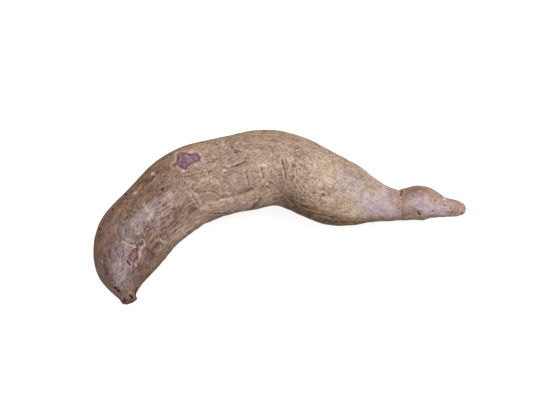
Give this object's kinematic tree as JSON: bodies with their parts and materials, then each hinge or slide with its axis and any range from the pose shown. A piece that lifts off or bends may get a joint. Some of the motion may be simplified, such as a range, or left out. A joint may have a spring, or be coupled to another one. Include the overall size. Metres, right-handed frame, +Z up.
{
  "type": "purple sweet potato",
  "caption": "Long bent sweet potato root with a broken stem end, a narrow waist before a small bulb, and a thin pink tail, lying on its side.",
  "frame": {"origin": "on the table, under the middle of the root's bounding box", "axes": "+X along the root's length from the bend towards the tail, +Y away from the hollow side of the bend, +Z up from the table"},
  "size_m": [0.2595, 0.1268, 0.0556],
  "materials": {
    "sweet_potato_skin": "dull brown root skin, slightly glossy where a thin pale bloom lies on it"
  },
  "bodies": {
    "root": {"sweet_potato": "sweet_potato_skin"}
  },
  "joints": []
}
